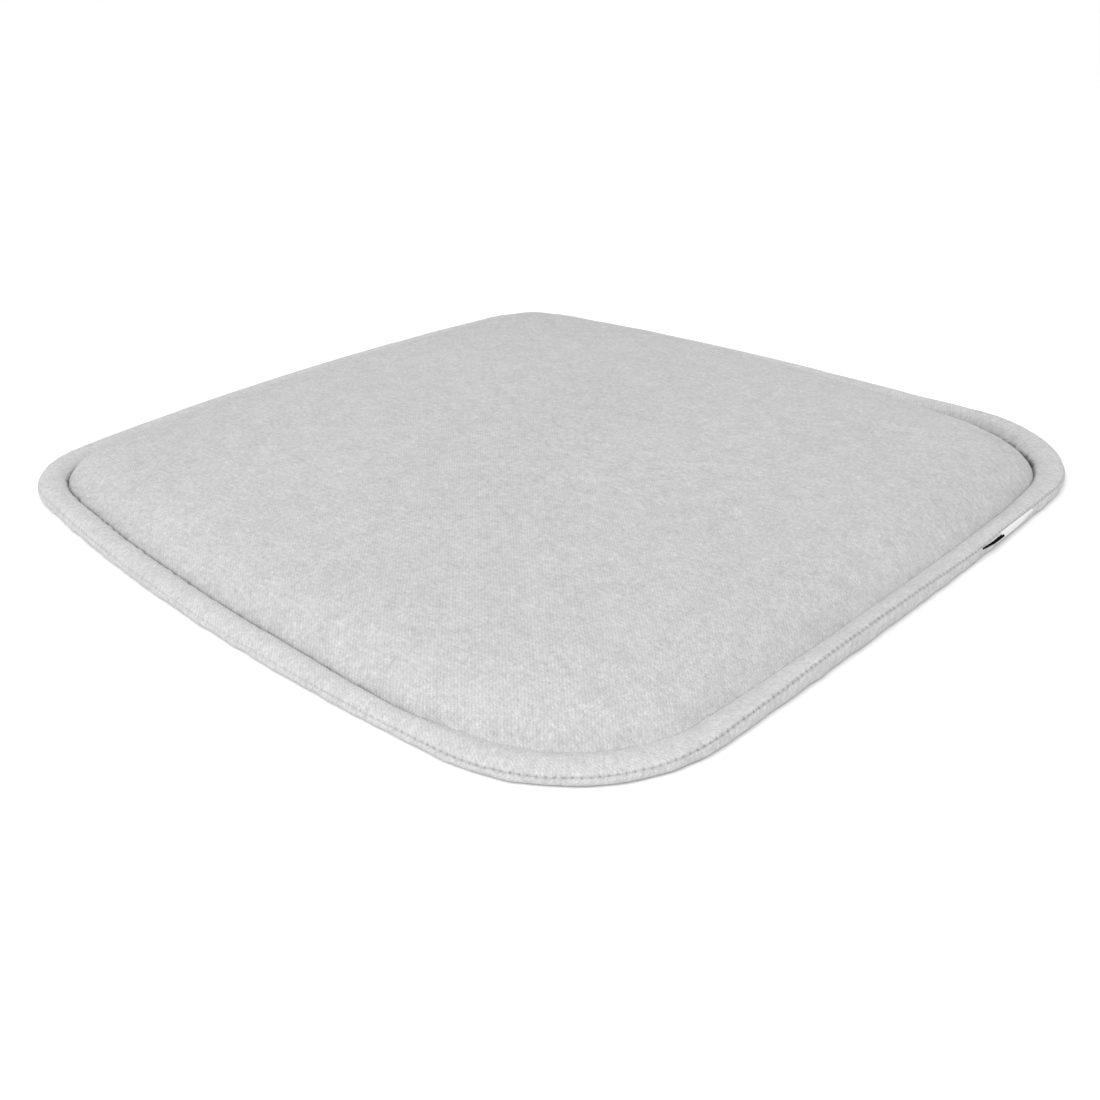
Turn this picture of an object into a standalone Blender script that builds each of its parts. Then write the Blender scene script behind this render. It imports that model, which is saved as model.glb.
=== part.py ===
"""Chair seat pad: a sewn fabric cover over foam, with a zip along its rear edge. Metres, +Z up.

The origin is under the middle of the pad, on the surface it rests on. -Y is the wide, nearly straight
front edge, +Y the narrower, bowed rear edge. A place on the pad is given by its inset, measured inwards
from the outer seam, and its height.
"""

import math

import bmesh
import bpy
from mathutils import Vector

# Plan: a trapezoid whose four sides bow outwards and whose corners are rounded.
DEPTH = 0.400
FRONT_WIDTH = 0.410
REAR_WIDTH = 0.380
FRONT_BOW = 0.005
REAR_BOW = 0.016
SIDE_BOW = 0.0167
FRONT_RADIUS = 0.0756
REAR_RADIUS = 0.0507

# Section of the pad, from the edge inwards.
BAND_WIDTH = 0.013
BAND_BULGE = 0.0025
OUTER_SEAM_HEIGHT = 0.0058
CREASE_HEIGHT = 0.0042
CROWN_HEIGHT = 0.0203
CROWN_RISE = 0.010
HEM_INSET = 0.0055

# Layers.
FABRIC = 0.0008
WADDING = 0.0015
GAP = 0.0003
SEAM_GAP = 0.0005
CORE_BASE = 0.0055

# Zip, along the rear edge below the outer seam.
ZIP_HALF_LENGTH = 0.125
ZIP_HEIGHT = 0.0038
ZIP_WINDOW_BASE = 0.0018
TEETH_INSETS = (0.0002, 0.0014)
TEETH_HEIGHTS = (0.0001, 0.00125)
TAPE = 0.0004
TAPE_INSETS = (0.0016, 0.0080)
TAPE_FOLD_HEIGHT = 0.0013
STOP_LENGTH = 0.002
STOP_INSETS = (-0.0002, 0.0014)
STOP_HALF_HEIGHT = 0.00125

# The slider and its pull. Y is measured outwards from the outer seam.
SLIDER_LENGTH = 0.009
SLIDER_HALF_HEIGHT = 0.00175
SLIDER_TO_STOP = 0.0015
PLATE_Y = (0.0003, 0.0015)
FLANGE_Y = (-0.0013, 0.0010)
FLANGE = 0.0004
POST_Y = (0.0010, 0.0030)
POST_X = 0.003
POST = 0.0006
BRIDGE_Y = (0.0026, 0.0032)
PULL_LENGTH = 0.017
PULL_WIDTH = 0.0044
PULL_THICKNESS = 0.0006
PULL_AXIS_Y = 0.00205
PULL_HOLE_END = 0.0048
PULL_HOLE_HEIGHT = 0.0022

# Labels, sewn into the outer seam of the front edge, right of its middle.
BRAND_LABEL_X = (0.0570, 0.0770)
CARE_LABEL_X = (0.0785, 0.1095)
BRAND_LABEL = 0.0003
CARE_LABEL = 0.0002
LABEL_STEPS = 4

# The outline's arcs start with the front left corner, then the front side.
FRONT_ARC = 1
REAR_ARC = 5

# How finely curves are divided.
SIDE_STEPS = 6
CORNER_STEPS = 7
ZIP_STEPS = 12
PARALLEL_INSET = 0.046
CENTRE_INSET = 0.200

COLOURS = {
    "cover_fabric": (0.62, 0.62, 0.61, 0.95, 0.0),
    "grip_fabric": (0.30, 0.30, 0.30, 0.9, 0.0),
    "foam": (0.86, 0.82, 0.68, 0.9, 0.0),
    "wadding": (0.90, 0.90, 0.89, 1.0, 0.0),
    "zip_tape": (0.52, 0.52, 0.52, 0.85, 0.0),
    "zip_coil": (0.60, 0.60, 0.60, 0.45, 0.0),
    "zip_metal": (0.50, 0.50, 0.52, 0.35, 1.0),
    "label_black": (0.012, 0.012, 0.013, 0.8, 0.0),
    "label_white": (0.88, 0.88, 0.87, 0.7, 0.0),
}


def clear_scene():
    for old in list(bpy.data.objects):
        bpy.data.objects.remove(old)


def material(slot):
    red, green, blue, roughness, metallic = COLOURS[slot]
    made = bpy.data.materials.new(slot)
    made.use_nodes = True
    shader = made.node_tree.nodes["Principled BSDF"]
    shader.inputs["Base Color"].default_value = (red, green, blue, 1.0)
    shader.inputs["Roughness"].default_value = roughness
    shader.inputs["Metallic"].default_value = metallic
    made.diffuse_color = (red, green, blue, 1.0)
    return made


# ---------------------------------------------------------------- outline


def circle_through(first, middle, last):
    """Centre and radius of the circle through three points."""
    ax, ay = middle - first
    bx, by = last - first
    cross = 2 * (ax * by - ay * bx)
    a_square = ax * ax + ay * ay
    b_square = bx * bx + by * by
    offset = Vector(((by * a_square - ay * b_square) / cross, (ax * b_square - bx * a_square) / cross))
    return first + offset, offset.length


def side_circle(start, end, bow):
    """The big circle of a side that bows outwards by bow, the outline running anticlockwise."""
    run = end - start
    outwards = Vector((run.y, -run.x)).normalized()
    return circle_through(start, (start + end) / 2 + outwards * bow, end)


def circles_meet(first, second, near):
    """The point nearest to near where two circles, each (centre, radius), cross."""
    (centre_a, radius_a), (centre_b, radius_b) = first, second
    between = centre_b - centre_a
    length = between.length
    along = (length**2 + radius_a**2 - radius_b**2) / (2 * length)
    across = math.sqrt(max(radius_a**2 - along**2, 0.0))
    foot = centre_a + between * (along / length)
    normal = Vector((-between.y, between.x)) / length
    return min((foot + normal * across, foot - normal * across), key=lambda point: (point - near).length)


def trapezoid():
    """The four corners before rounding, set so that the bowed outline is centred on the origin."""
    middle = (FRONT_BOW - REAR_BOW) / 2
    front, rear = middle - DEPTH / 2, middle + DEPTH / 2
    return [
        Vector((-FRONT_WIDTH / 2, front)),
        Vector((FRONT_WIDTH / 2, front)),
        Vector((REAR_WIDTH / 2, rear)),
        Vector((-REAR_WIDTH / 2, rear)),
    ]


def outline_arcs():
    """The outline's eight arcs, anticlockwise: (centre, radius, first angle, last angle, is a corner)."""
    corners = trapezoid()
    bows = (FRONT_BOW, SIDE_BOW, REAR_BOW, SIDE_BOW)
    radii = (FRONT_RADIUS, FRONT_RADIUS, REAR_RADIUS, REAR_RADIUS)
    sides = [side_circle(corners[i], corners[(i + 1) % 4], bows[i]) for i in range(4)]
    fillets = []
    for i, (corner, radius) in enumerate(zip(corners, radii)):
        before, after = sides[i - 1], sides[i]
        inner = [(centre, big - radius) for centre, big in (before, after)]
        fillets.append((circles_meet(*inner, corner * 0.7), radius))
    arcs = []
    for i in range(4):
        fillet, radius = fillets[i]
        arcs.append(arc_between(fillet, radius, fillet - sides[i - 1][0], fillet - sides[i][0], True))
        centre, big = sides[i]
        arcs.append(arc_between(centre, big, fillet - centre, fillets[(i + 1) % 4][0] - centre, False))
    return arcs


def arc_between(centre, radius, start, end, corner):
    first = math.atan2(start.y, start.x)
    last = math.atan2(end.y, end.x)
    while last < first:
        last += 2 * math.pi
    return centre, radius, first, last, corner


def station(centre, radius, angle):
    """A place on the outer seam: its point and its outward direction."""
    outwards = Vector((math.cos(angle), math.sin(angle)))
    return centre + outwards * radius, outwards


def seam_stations():
    """Stations all round the outer seam, with a close pair at each end of the zip."""
    places = []
    for index, (centre, radius, first, last, corner) in enumerate(outline_arcs()):
        steps = CORNER_STEPS if corner else SIDE_STEPS
        angles = [first + (last - first) * step / steps for step in range(steps)]
        if index == REAR_ARC:
            middle = math.pi / 2
            half = ZIP_HALF_LENGTH / radius
            inside = [middle - half + 2 * half * step / steps for step in range(steps + 1)]
            ends = [inside[0] - 0.001, inside[-1] + 0.001]
            angles = [first, ends[0], *inside, ends[1]]
        places += [station(centre, radius, angle) for angle in angles]
    return places


def rear_centre():
    centre, radius = outline_arcs()[REAR_ARC][:2]
    return centre, radius


def zip_stations(half_length, steps):
    """Stations along the rear edge, from the closed end at +X to the open end at -X."""
    centre, radius = rear_centre()
    half = half_length / radius
    angles = [math.pi / 2 - half + 2 * half * step / steps for step in range(steps + 1)]
    return [station(centre, radius, angle) for angle in angles]


def place_at(seam, inset, height):
    """The point at an inset and a height. Past PARALLEL_INSET the rings shrink evenly to the centre."""
    point, outwards = seam
    ring = point - outwards * min(inset, PARALLEL_INSET)
    if inset > PARALLEL_INSET:
        ring = ring * ((CENTRE_INSET - inset) / (CENTRE_INSET - PARALLEL_INSET))
    return Vector((ring.x, ring.y, height))


# ---------------------------------------------------------------- section


def top_height(inset):
    """Height of the upper side: the rolled band, the crease, then the crown."""
    if inset <= BAND_WIDTH:
        part = inset / BAND_WIDTH
        straight = OUTER_SEAM_HEIGHT + (CREASE_HEIGHT - OUTER_SEAM_HEIGHT) * part
        return straight + BAND_BULGE * 4 * part * (1 - part)
    rise = 1 - math.exp(-(inset - BAND_WIDTH) / CROWN_RISE)
    return CREASE_HEIGHT + (CROWN_HEIGHT - CREASE_HEIGHT) * rise


def below_top(inset, depth):
    """The point of the section that lies depth under the upper side, square to it."""
    step = 1e-5
    slope = (top_height(inset + step) - top_height(inset)) / step
    length = math.hypot(1.0, slope)
    return inset + depth * slope / length, top_height(inset) - depth / length


def inside_of(outer, depth):
    """A section line moved by depth to its right, as it runs."""
    moved = []
    for i, (inset, height) in enumerate(outer):
        before = outer[max(i - 1, 0)]
        after = outer[min(i + 1, len(outer) - 1)]
        run, rise = after[0] - before[0], after[1] - before[1]
        length = math.hypot(run, rise)
        moved.append((inset + rise / length * depth, height - run / length * depth))
    return moved


# ---------------------------------------------------------------- bodies


def finish(name, mesh, slot, smooth=True):
    bmesh.ops.recalc_face_normals(mesh, faces=mesh.faces)
    data = bpy.data.meshes.new(name)
    mesh.to_mesh(data)
    mesh.free()
    if smooth:
        data.shade_smooth()
        data.set_sharp_from_angle(angle=math.radians(35))
    made = bpy.data.objects.new(name, data)
    made.data.materials.append(material(slot))
    bpy.context.collection.objects.link(made)
    return made


def ring_body(name, slot, places, section_at, closed=True):
    """A section swept along stations. section_at(index) gives the closed section at each of them."""
    mesh = bmesh.new()
    loops = [
        [mesh.verts.new(place_at(seam, inset, height)) for inset, height in section_at(index)]
        for index, seam in enumerate(places)
    ]
    count = len(loops)
    for index in range(count if closed else count - 1):
        here, there = loops[index], loops[(index + 1) % count]
        for corner in range(len(here)):
            after = (corner + 1) % len(here)
            mesh.faces.new((here[corner], here[after], there[after], there[corner]))
    if not closed:
        mesh.faces.new(loops[0])
        mesh.faces.new(loops[-1])
    return finish(name, mesh, slot)


def sheet_body(name, slot, upper, lower):
    """A layer that covers the middle of the pad. Both lines run from its rim to the centre."""
    mesh = bmesh.new()
    places = seam_stations()
    line = upper[:-1] + lower[-2::-1]
    tip, base = upper[-1], lower[-1]
    loops = [[mesh.verts.new(place_at(seam, *point)) for point in line] for seam in places]
    peak = mesh.verts.new((0, 0, tip[1]))
    floor = mesh.verts.new((0, 0, base[1]))
    inner_upper, inner_lower = len(upper) - 2, len(upper) - 1
    for index, here in enumerate(loops):
        there = loops[(index + 1) % len(loops)]
        for corner in range(len(line)):
            after = (corner + 1) % len(line)
            if corner != inner_upper:
                mesh.faces.new((here[corner], here[after], there[after], there[corner]))
        mesh.faces.new((here[inner_upper], there[inner_upper], peak))
        mesh.faces.new((here[inner_lower], there[inner_lower], floor))
    return finish(name, mesh, slot)


def crown_line(insets, depth):
    """The crown's line, depth under its surface, ending at the pad's centre."""
    line = [below_top(inset, depth) for inset in insets]
    return line + [(CENTRE_INSET, CROWN_HEIGHT - depth)]


CROWN_INSETS = (0.0155, 0.0185, 0.0225, 0.028, 0.036, 0.046, 0.100)


def top_panel():
    insets = (BAND_WIDTH + GAP, *CROWN_INSETS)
    sheet_body("top_panel", "cover_fabric", crown_line(insets, 0.0), crown_line(insets, FABRIC))


def wadding_sheet():
    insets = (0.0165, *CROWN_INSETS[1:])
    outer = FABRIC + GAP
    sheet_body("wadding_sheet", "wadding", crown_line(insets, outer), crown_line(insets, outer + WADDING))


def foam_core():
    insets = (0.0172, *CROWN_INSETS[1:])
    upper = crown_line(insets, FABRIC + WADDING + 2 * GAP)
    lower = [(upper[0][0], CORE_BASE), (PARALLEL_INSET, CORE_BASE), (CENTRE_INSET, CORE_BASE)]
    sheet_body("foam_core", "foam", upper, lower)


def base_foam():
    """The thin sheet under the core. Its rim fills the rolled band and it dips below the crease."""
    upper = [
        (0.0026, 0.0044),
        (0.0036, 0.0048),
        (0.0085, 0.0048),
        (0.0115, 0.0030),
        (0.0155, 0.0030),
        (0.0190, CORE_BASE - GAP),
        (PARALLEL_INSET, CORE_BASE - GAP),
        (CENTRE_INSET, CORE_BASE - GAP),
    ]
    lower = [
        (0.0026, 0.0028),
        (0.0090, 0.0025),
        (0.0110, FABRIC + 2 * GAP),
        (PARALLEL_INSET, FABRIC + 2 * GAP),
        (CENTRE_INSET, FABRIC + 2 * GAP),
    ]
    sheet_body("base_foam", "foam", upper, lower)


def underside_panel():
    rim = HEM_INSET + GAP
    upper = [(rim, FABRIC), (PARALLEL_INSET, FABRIC), (CENTRE_INSET, FABRIC)]
    lower = [(rim, 0.0), (PARALLEL_INSET, 0.0), (CENTRE_INSET, 0.0)]
    sheet_body("underside_panel", "grip_fabric", upper, lower)


def border_band():
    insets = [BAND_WIDTH * part for part in (0.0, 0.08, 0.2, 0.35, 0.5, 0.65, 0.8, 0.985)]
    outer = [(inset, top_height(inset)) for inset in insets]
    outer[0] = (0.0, OUTER_SEAM_HEIGHT + SEAM_GAP / 2)
    inner = [(FABRIC, outer[0][1]), *inside_of(outer, FABRIC)[1:]]
    section = outer + inner[::-1]
    ring_body("border_band", "cover_fabric", seam_stations(), lambda index: section)


def lower_band():
    """The strip from the outer seam down and under. It is cut away below the seam for the zip."""
    full_top = OUTER_SEAM_HEIGHT - SEAM_GAP / 2
    places = seam_stations()
    centre, radius = rear_centre()
    zip_end = ZIP_HALF_LENGTH / radius + 1e-4

    def section_at(index):
        run = places[index][0] - centre
        at_zip = places[index][0].y > 0 and abs(math.atan2(run.x, run.y)) < zip_end
        top = ZIP_WINDOW_BASE if at_zip else full_top
        wall = [(-0.0002, top), (0.0, (ZIP_WINDOW_BASE + top) / 2)]
        outer = wall + [(0.0003, 0.0017), (0.0011, 0.0007), (0.0026, 0.0001), (HEM_INSET, 0.0)]
        if at_zip:
            outer[1] = (0.00025, (top + outer[2][1]) / 2)
        inner = [(inset + FABRIC, height) for inset, height in outer[:3]]
        inner += [(0.0019, 0.0014), (0.0030, 0.0009), (HEM_INSET, FABRIC)]
        return outer + inner[::-1]

    ring_body("lower_band", "cover_fabric", places, section_at)


def box_section(low_inset, high_inset, low, high):
    return [(low_inset, low), (high_inset, low), (high_inset, high), (low_inset, high)]


def zip_rows_and_tapes():
    """Two rows of coil teeth in the window, and two tapes that fold inwards behind them."""
    half = ZIP_HALF_LENGTH - STOP_LENGTH - 2 * GAP
    places = zip_stations(half, ZIP_STEPS)
    outer, inner = TAPE_INSETS
    for side, row in ((1, "upper"), (-1, "lower")):
        near, far = [ZIP_HEIGHT + side * height for height in TEETH_HEIGHTS]
        teeth = box_section(*TEETH_INSETS, min(near, far), max(near, far))
        ring_body(f"zip_teeth_{row}", "zip_coil", places, lambda index, made=teeth: made, False)
        fold = ZIP_HEIGHT + side * TAPE_FOLD_HEIGHT
        turn = fold + side * TAPE
        tape = [(outer, near), (outer + TAPE, near), (outer + TAPE, fold)]
        tape += [(inner, fold), (inner, turn), (outer, turn)]
        ring_body(f"zip_tape_{row}", "zip_tape", places, lambda index, made=tape: made, False)


def zip_stops():
    """A stop crimped across both rows at each end of the zip."""
    centre, radius = rear_centre()
    half = (ZIP_HALF_LENGTH - GAP) / radius
    length = STOP_LENGTH / radius
    section = box_section(*STOP_INSETS, ZIP_HEIGHT - STOP_HALF_HEIGHT, ZIP_HEIGHT + STOP_HALF_HEIGHT)
    starts = {"zip_stop_closed_end": math.pi / 2 - half, "zip_stop_open_end": math.pi / 2 + half - length}
    for name, first in starts.items():
        places = [station(centre, radius, first + length * part) for part in (0.0, 1.0)]
        ring_body(name, "zip_metal", places, lambda index: section, False)


def rest_angle():
    """The slider rests against the stop at the closed end."""
    centre, radius = rear_centre()
    return math.pi / 2 - (ZIP_HALF_LENGTH - STOP_LENGTH - SLIDER_TO_STOP - SLIDER_LENGTH / 2) / radius


def empty_at(name, centre):
    axis = bpy.data.objects.new(name, None)
    axis.location = centre
    bpy.context.collection.objects.link(axis)
    return axis


def box_between(x_range, y_range, z_range):
    return tuple(zip(x_range, y_range, z_range))


def joined(name, slot, boxes, parent, place, turn):
    """Boxes, each (low corner, high corner), united into one body in the frame of its place."""
    base = None
    for low, high in boxes:
        mesh = bmesh.new()
        bmesh.ops.create_cube(mesh, size=1.0)
        for vertex in mesh.verts:
            vertex.co = Vector([(a + b) / 2 + c * (b - a) for a, b, c in zip(low, high, vertex.co)])
        piece = finish(name if base is None else f"{name}_piece", mesh, slot, smooth=False)
        if base is None:
            base = piece
            continue
        union = base.modifiers.new("union", "BOOLEAN")
        union.operation = "UNION"
        union.object = piece
        piece.hide_render = True
        piece.display_type = "WIRE"
        piece.parent = base
    base.location = place
    base.rotation_euler = (0.0, 0.0, turn)
    base.parent = parent
    return base


def zip_slider_and_pull():
    """The slider is a channel over both rows with a bridge outside it, which holds the pull's end bar.

    Both are modelled with X along the zip, Y outwards from the outer seam and Z up from the zip's middle.
    """
    centre, radius = rear_centre()
    angle = rest_angle()
    path = empty_at("zip_path_axis", (centre.x, centre.y, ZIP_HEIGHT))
    outwards = Vector((math.cos(angle), math.sin(angle), 0.0))
    place = outwards * radius
    turn = angle - math.pi / 2
    half, tall = SLIDER_LENGTH / 2, SLIDER_HALF_HEIGHT
    plate = box_between((-half, half), PLATE_Y, (-tall, tall))
    sides = ((-tall, FLANGE - tall), (tall - FLANGE, tall))
    flanges = [box_between((-half, half), FLANGE_Y, side) for side in sides]
    posts = [box_between((x - POST / 2, x + POST / 2), POST_Y, (-POST, POST)) for x in (-POST_X, POST_X)]
    bridge = box_between((-POST_X - POST / 2, POST_X + POST / 2), BRIDGE_Y, (-POST, POST))
    joined("zip_slider", "zip_metal", [plate, *flanges, *posts, bridge], path, place, turn)

    pull_axis = empty_at("zip_pull_axis", place + outwards * PULL_AXIS_Y)
    pull_axis.rotation_euler = (0.0, 0.0, turn)
    pull_axis.parent = path
    thick, wide, hole = PULL_THICKNESS / 2, PULL_WIDTH / 2, PULL_HOLE_HEIGHT / 2
    flat = (-thick, thick)
    bar = box_between(flat, flat, (-wide, wide))
    rails = [box_between((-PULL_HOLE_END, 0.0), flat, side) for side in ((-wide, -hole), (hole, wide))]
    tab = box_between((-PULL_LENGTH, GAP - PULL_HOLE_END), flat, (-wide, wide))
    joined("zip_pull", "zip_metal", [bar, *rails, tab], pull_axis, (0.0, 0.0, 0.0), 0.0)


def label(name, slot, x_range, section):
    """A label held in the outer seam of the front edge between two places along it."""
    centre, radius = outline_arcs()[FRONT_ARC][:2]
    places = []
    for step in range(LABEL_STEPS + 1):
        x = x_range[0] + (x_range[1] - x_range[0]) * step / LABEL_STEPS
        places.append(station(centre, radius, -math.acos((x - centre.x) / radius)))
    ring_body(name, slot, places, lambda index: section, False)


def labels():
    """Each label's section runs from its tucked edge, in the seam's gap, outwards and down."""
    seam = OUTER_SEAM_HEIGHT
    tucked = (0.0006, seam + 0.0001)
    folded = [tucked, (-0.0006, tucked[1]), (-0.0020, seam - 0.0006), (-0.0030, seam - 0.0018)]
    label("brand_label", "label_black", BRAND_LABEL_X, folded + inside_of(folded, -BRAND_LABEL)[::-1])
    hanging = [tucked, (-0.0004, tucked[1]), (-0.0008, seam - 0.0006), (-0.0008, 0.0010)]
    label("care_label", "label_white", CARE_LABEL_X, hanging + inside_of(hanging, -CARE_LABEL)[::-1])


clear_scene()
top_panel()
border_band()
lower_band()
underside_panel()
wadding_sheet()
foam_core()
base_foam()
zip_rows_and_tapes()
zip_stops()
zip_slider_and_pull()
labels()
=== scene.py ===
"""The looks of the chair seat pad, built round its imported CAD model. Metres, in the CAD model's frame.

A place on the pad is given by its distance along the outer seam, its inset from that seam and its height.
"""

import math

import bmesh
import bpy
import numpy as np
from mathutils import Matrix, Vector
from mathutils.geometry import delaunay_2d_cdt


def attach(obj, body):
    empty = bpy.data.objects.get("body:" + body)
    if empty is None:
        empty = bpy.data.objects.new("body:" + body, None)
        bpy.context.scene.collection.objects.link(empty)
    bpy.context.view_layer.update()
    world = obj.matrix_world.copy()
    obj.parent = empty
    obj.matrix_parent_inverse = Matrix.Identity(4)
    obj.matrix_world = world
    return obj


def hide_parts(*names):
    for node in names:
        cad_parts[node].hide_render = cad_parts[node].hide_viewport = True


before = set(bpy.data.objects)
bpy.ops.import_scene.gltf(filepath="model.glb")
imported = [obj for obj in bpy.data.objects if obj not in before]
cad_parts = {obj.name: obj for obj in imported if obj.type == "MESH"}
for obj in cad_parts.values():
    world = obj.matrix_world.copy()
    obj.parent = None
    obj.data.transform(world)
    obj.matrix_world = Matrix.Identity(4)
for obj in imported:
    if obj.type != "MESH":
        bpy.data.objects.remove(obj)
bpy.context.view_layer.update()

MM = 0.001

# Plan of the outer seam, as in the CAD model.
DEPTH, FRONT_WIDTH, REAR_WIDTH = 0.400, 0.410, 0.380
FRONT_BOW, REAR_BOW, SIDE_BOW = 0.005, 0.016, 0.0167
FRONT_RADIUS, REAR_RADIUS = 0.0756, 0.0507

# Section, from the edge inwards.
CREASE_HEIGHT = 4.4 * MM
CROWN_RISES = ((14.4 * MM, 9.5 * MM), (1.8 * MM, 60.0 * MM))
FABRIC = 0.8 * MM
HEM_INSET = 5.5 * MM
HEM_FABRIC = 0.7 * MM
STITCH = 3.1 * MM
SLIT = 0.12 * MM

# The zip, along the rear edge.
ZIP_HALF_LENGTH = 0.125
ZIP_HEIGHT = 3.8 * MM
ZIP_WINDOW_BASE = 1.8 * MM

# Cloth.
COVER_GREY = 0.472
# The edge strips' colour is painted lighter than the panel's, for how the light falls on them.
STRIP_PAINTED_LIGHT = 1.08
YARN = 0.6 * MM

# Labels in the front seam, as their distances along it.
BRAND_LABEL = (0.3072, 0.3278)
CARE_LABEL = (0.3262, 0.3620)

# Stage.
WORLD_STRENGTH = 1.06
KEY_PLACE, KEY_TARGET = (-0.82, -0.33, 0.85), (-0.04, -0.06, 0)
KEY_SIZE, KEY_POWER = 0.8, 6.2
FLOOR_HALF, FLOOR_DROP = 6.0, 0.2 * MM
CAMERA_AZIMUTH, CAMERA_ELEVATION = math.radians(-48.24), math.radians(23.93)
CAMERA_DISTANCE, CAMERA_LENS = 0.70, 44.19
CAMERA_SHIFT = (-0.0098, -0.067)


# ------------------------------------------------------------------ outline


def circle_through(first, middle, last):
    a, b = middle - first, last - first
    cross = 2 * (a[0] * b[1] - a[1] * b[0])
    a_square, b_square = a @ a, b @ b
    offset = np.array([b[1] * a_square - a[1] * b_square, a[0] * b_square - b[0] * a_square]) / cross
    return first + offset, math.hypot(*offset)


def circles_meet(centre_a, radius_a, centre_b, radius_b, near):
    between = centre_b - centre_a
    length = math.hypot(*between)
    along = (length**2 + radius_a**2 - radius_b**2) / (2 * length)
    across = math.sqrt(radius_a**2 - along**2)
    foot = centre_a + between * along / length
    normal = np.array([-between[1], between[0]]) / length * across
    return min(foot + normal, foot - normal, key=lambda point: math.hypot(*(point - near)))


def outline_arcs():
    """The outer seam's arcs, anticlockwise from the front left: (centre, radius, first angle, last angle)."""
    middle = (FRONT_BOW - REAR_BOW) / 2
    front, rear = middle - DEPTH / 2, middle + DEPTH / 2
    widths = (-FRONT_WIDTH, FRONT_WIDTH, REAR_WIDTH, -REAR_WIDTH)
    corners = [np.array([width / 2, y]) for width, y in zip(widths, (front, front, rear, rear))]
    sides = []
    for i, bow in enumerate((FRONT_BOW, SIDE_BOW, REAR_BOW, SIDE_BOW)):
        start, end = corners[i], corners[(i + 1) % 4]
        run = (end - start) / math.hypot(*(end - start))
        sides.append(circle_through(start, (start + end) / 2 + np.array([run[1], -run[0]]) * bow, end))
    fillets = []
    for i, radius in enumerate((FRONT_RADIUS, FRONT_RADIUS, REAR_RADIUS, REAR_RADIUS)):
        (centre_a, big_a), (centre_b, big_b) = sides[i - 1], sides[i]
        centre = circles_meet(centre_a, big_a - radius, centre_b, big_b - radius, corners[i] * 0.7)
        fillets.append((centre, radius))
    arcs = []
    for i, (fillet, radius) in enumerate(fillets):
        centre, big = sides[i]
        arcs.append((fillet, radius, fillet - sides[i - 1][0], fillet - centre))
        arcs.append((centre, big, fillet - centre, fillets[(i + 1) % 4][0] - centre))
    turned = []
    for centre, radius, start, end in arcs:
        first = math.atan2(start[1], start[0])
        last = math.atan2(end[1], end[0])
        turned.append((centre, radius, first, last + 2 * math.pi * (last < first)))
    return turned


ARCS = outline_arcs()
ARC_STARTS = np.concatenate([[0.0], np.cumsum([radius * (last - first) for _, radius, first, last in ARCS])])
SEAM_LENGTH = ARC_STARTS[-1]
ARC_MIDDLES = (ARC_STARTS[:-1] + ARC_STARTS[1:]) / 2
FRONT_LEFT, FRONT_RIGHT, REAR_RIGHT, REAR_LEFT = ARC_MIDDLES[0::2]
REAR_SIDE = ARC_MIDDLES[5]
STITCHES = round(SEAM_LENGTH / STITCH)


def seam(along):
    """Points of the outer seam and its outward directions, at distances along it."""
    along = np.atleast_1d(along) % SEAM_LENGTH
    index = np.clip(np.searchsorted(ARC_STARTS, along, side="right") - 1, 0, len(ARCS) - 1)
    centres = np.array([arc[0] for arc in ARCS])[index]
    radii = np.array([arc[1] for arc in ARCS])[index]
    angles = np.array([arc[2] for arc in ARCS])[index] + (along - ARC_STARTS[index]) / radii
    outwards = np.column_stack([np.cos(angles), np.sin(angles)])
    return centres + outwards * radii[:, None], outwards


def place(along, inset, height):
    """Points of the pad. The three arrays have one shape, or can be made to."""
    along, inset, height = np.broadcast_arrays(along, inset, height)
    points, outwards = seam(along.ravel())
    flat = points - outwards * inset.ravel()[:, None]
    return np.column_stack([flat, height.ravel()]).reshape(*along.shape, 3)


def wander(along, seed, longest, shortest):
    """A smooth closed wave along the seam, about -1 to 1, made of wavelengths between the two."""
    random = np.random.default_rng(seed)
    lowest, highest = SEAM_LENGTH / longest, SEAM_LENGTH / shortest
    counts = np.unique(np.geomspace(lowest, highest, 9).astype(int))
    phases = random.uniform(0, 2 * math.pi, len(counts))
    strengths = random.uniform(0.5, 1.0, len(counts))
    turns = 2 * math.pi * along / SEAM_LENGTH
    waves = [s * np.sin(k * turns + p) for s, k, p in zip(strengths, counts, phases)]
    return sum(waves) / math.sqrt(sum(strengths**2) * 1.4)


def near(along, centre, reach):
    """1 at a place on the seam, falling smoothly to 0 over about reach to each side."""
    gap = (along - centre + SEAM_LENGTH / 2) % SEAM_LENGTH - SEAM_LENGTH / 2
    return np.exp(-((gap / reach) ** 2))


# ------------------------------------------------------------------ section


def profile(*stops):
    """A smooth closed function of the distance along the seam, through (distance, value) stops."""
    grid = np.linspace(0, SEAM_LENGTH, 1536, endpoint=False)
    values = np.interp(grid, *zip(*stops), period=SEAM_LENGTH)
    reach = 6.0 * MM
    waves = np.fft.rfftfreq(len(grid), grid[1])
    smooth = np.fft.irfft(np.fft.rfft(values) * np.exp(-2 * (math.pi * waves * reach) ** 2), len(grid))
    return lambda along: np.interp(along, grid, smooth, period=SEAM_LENGTH)


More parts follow.
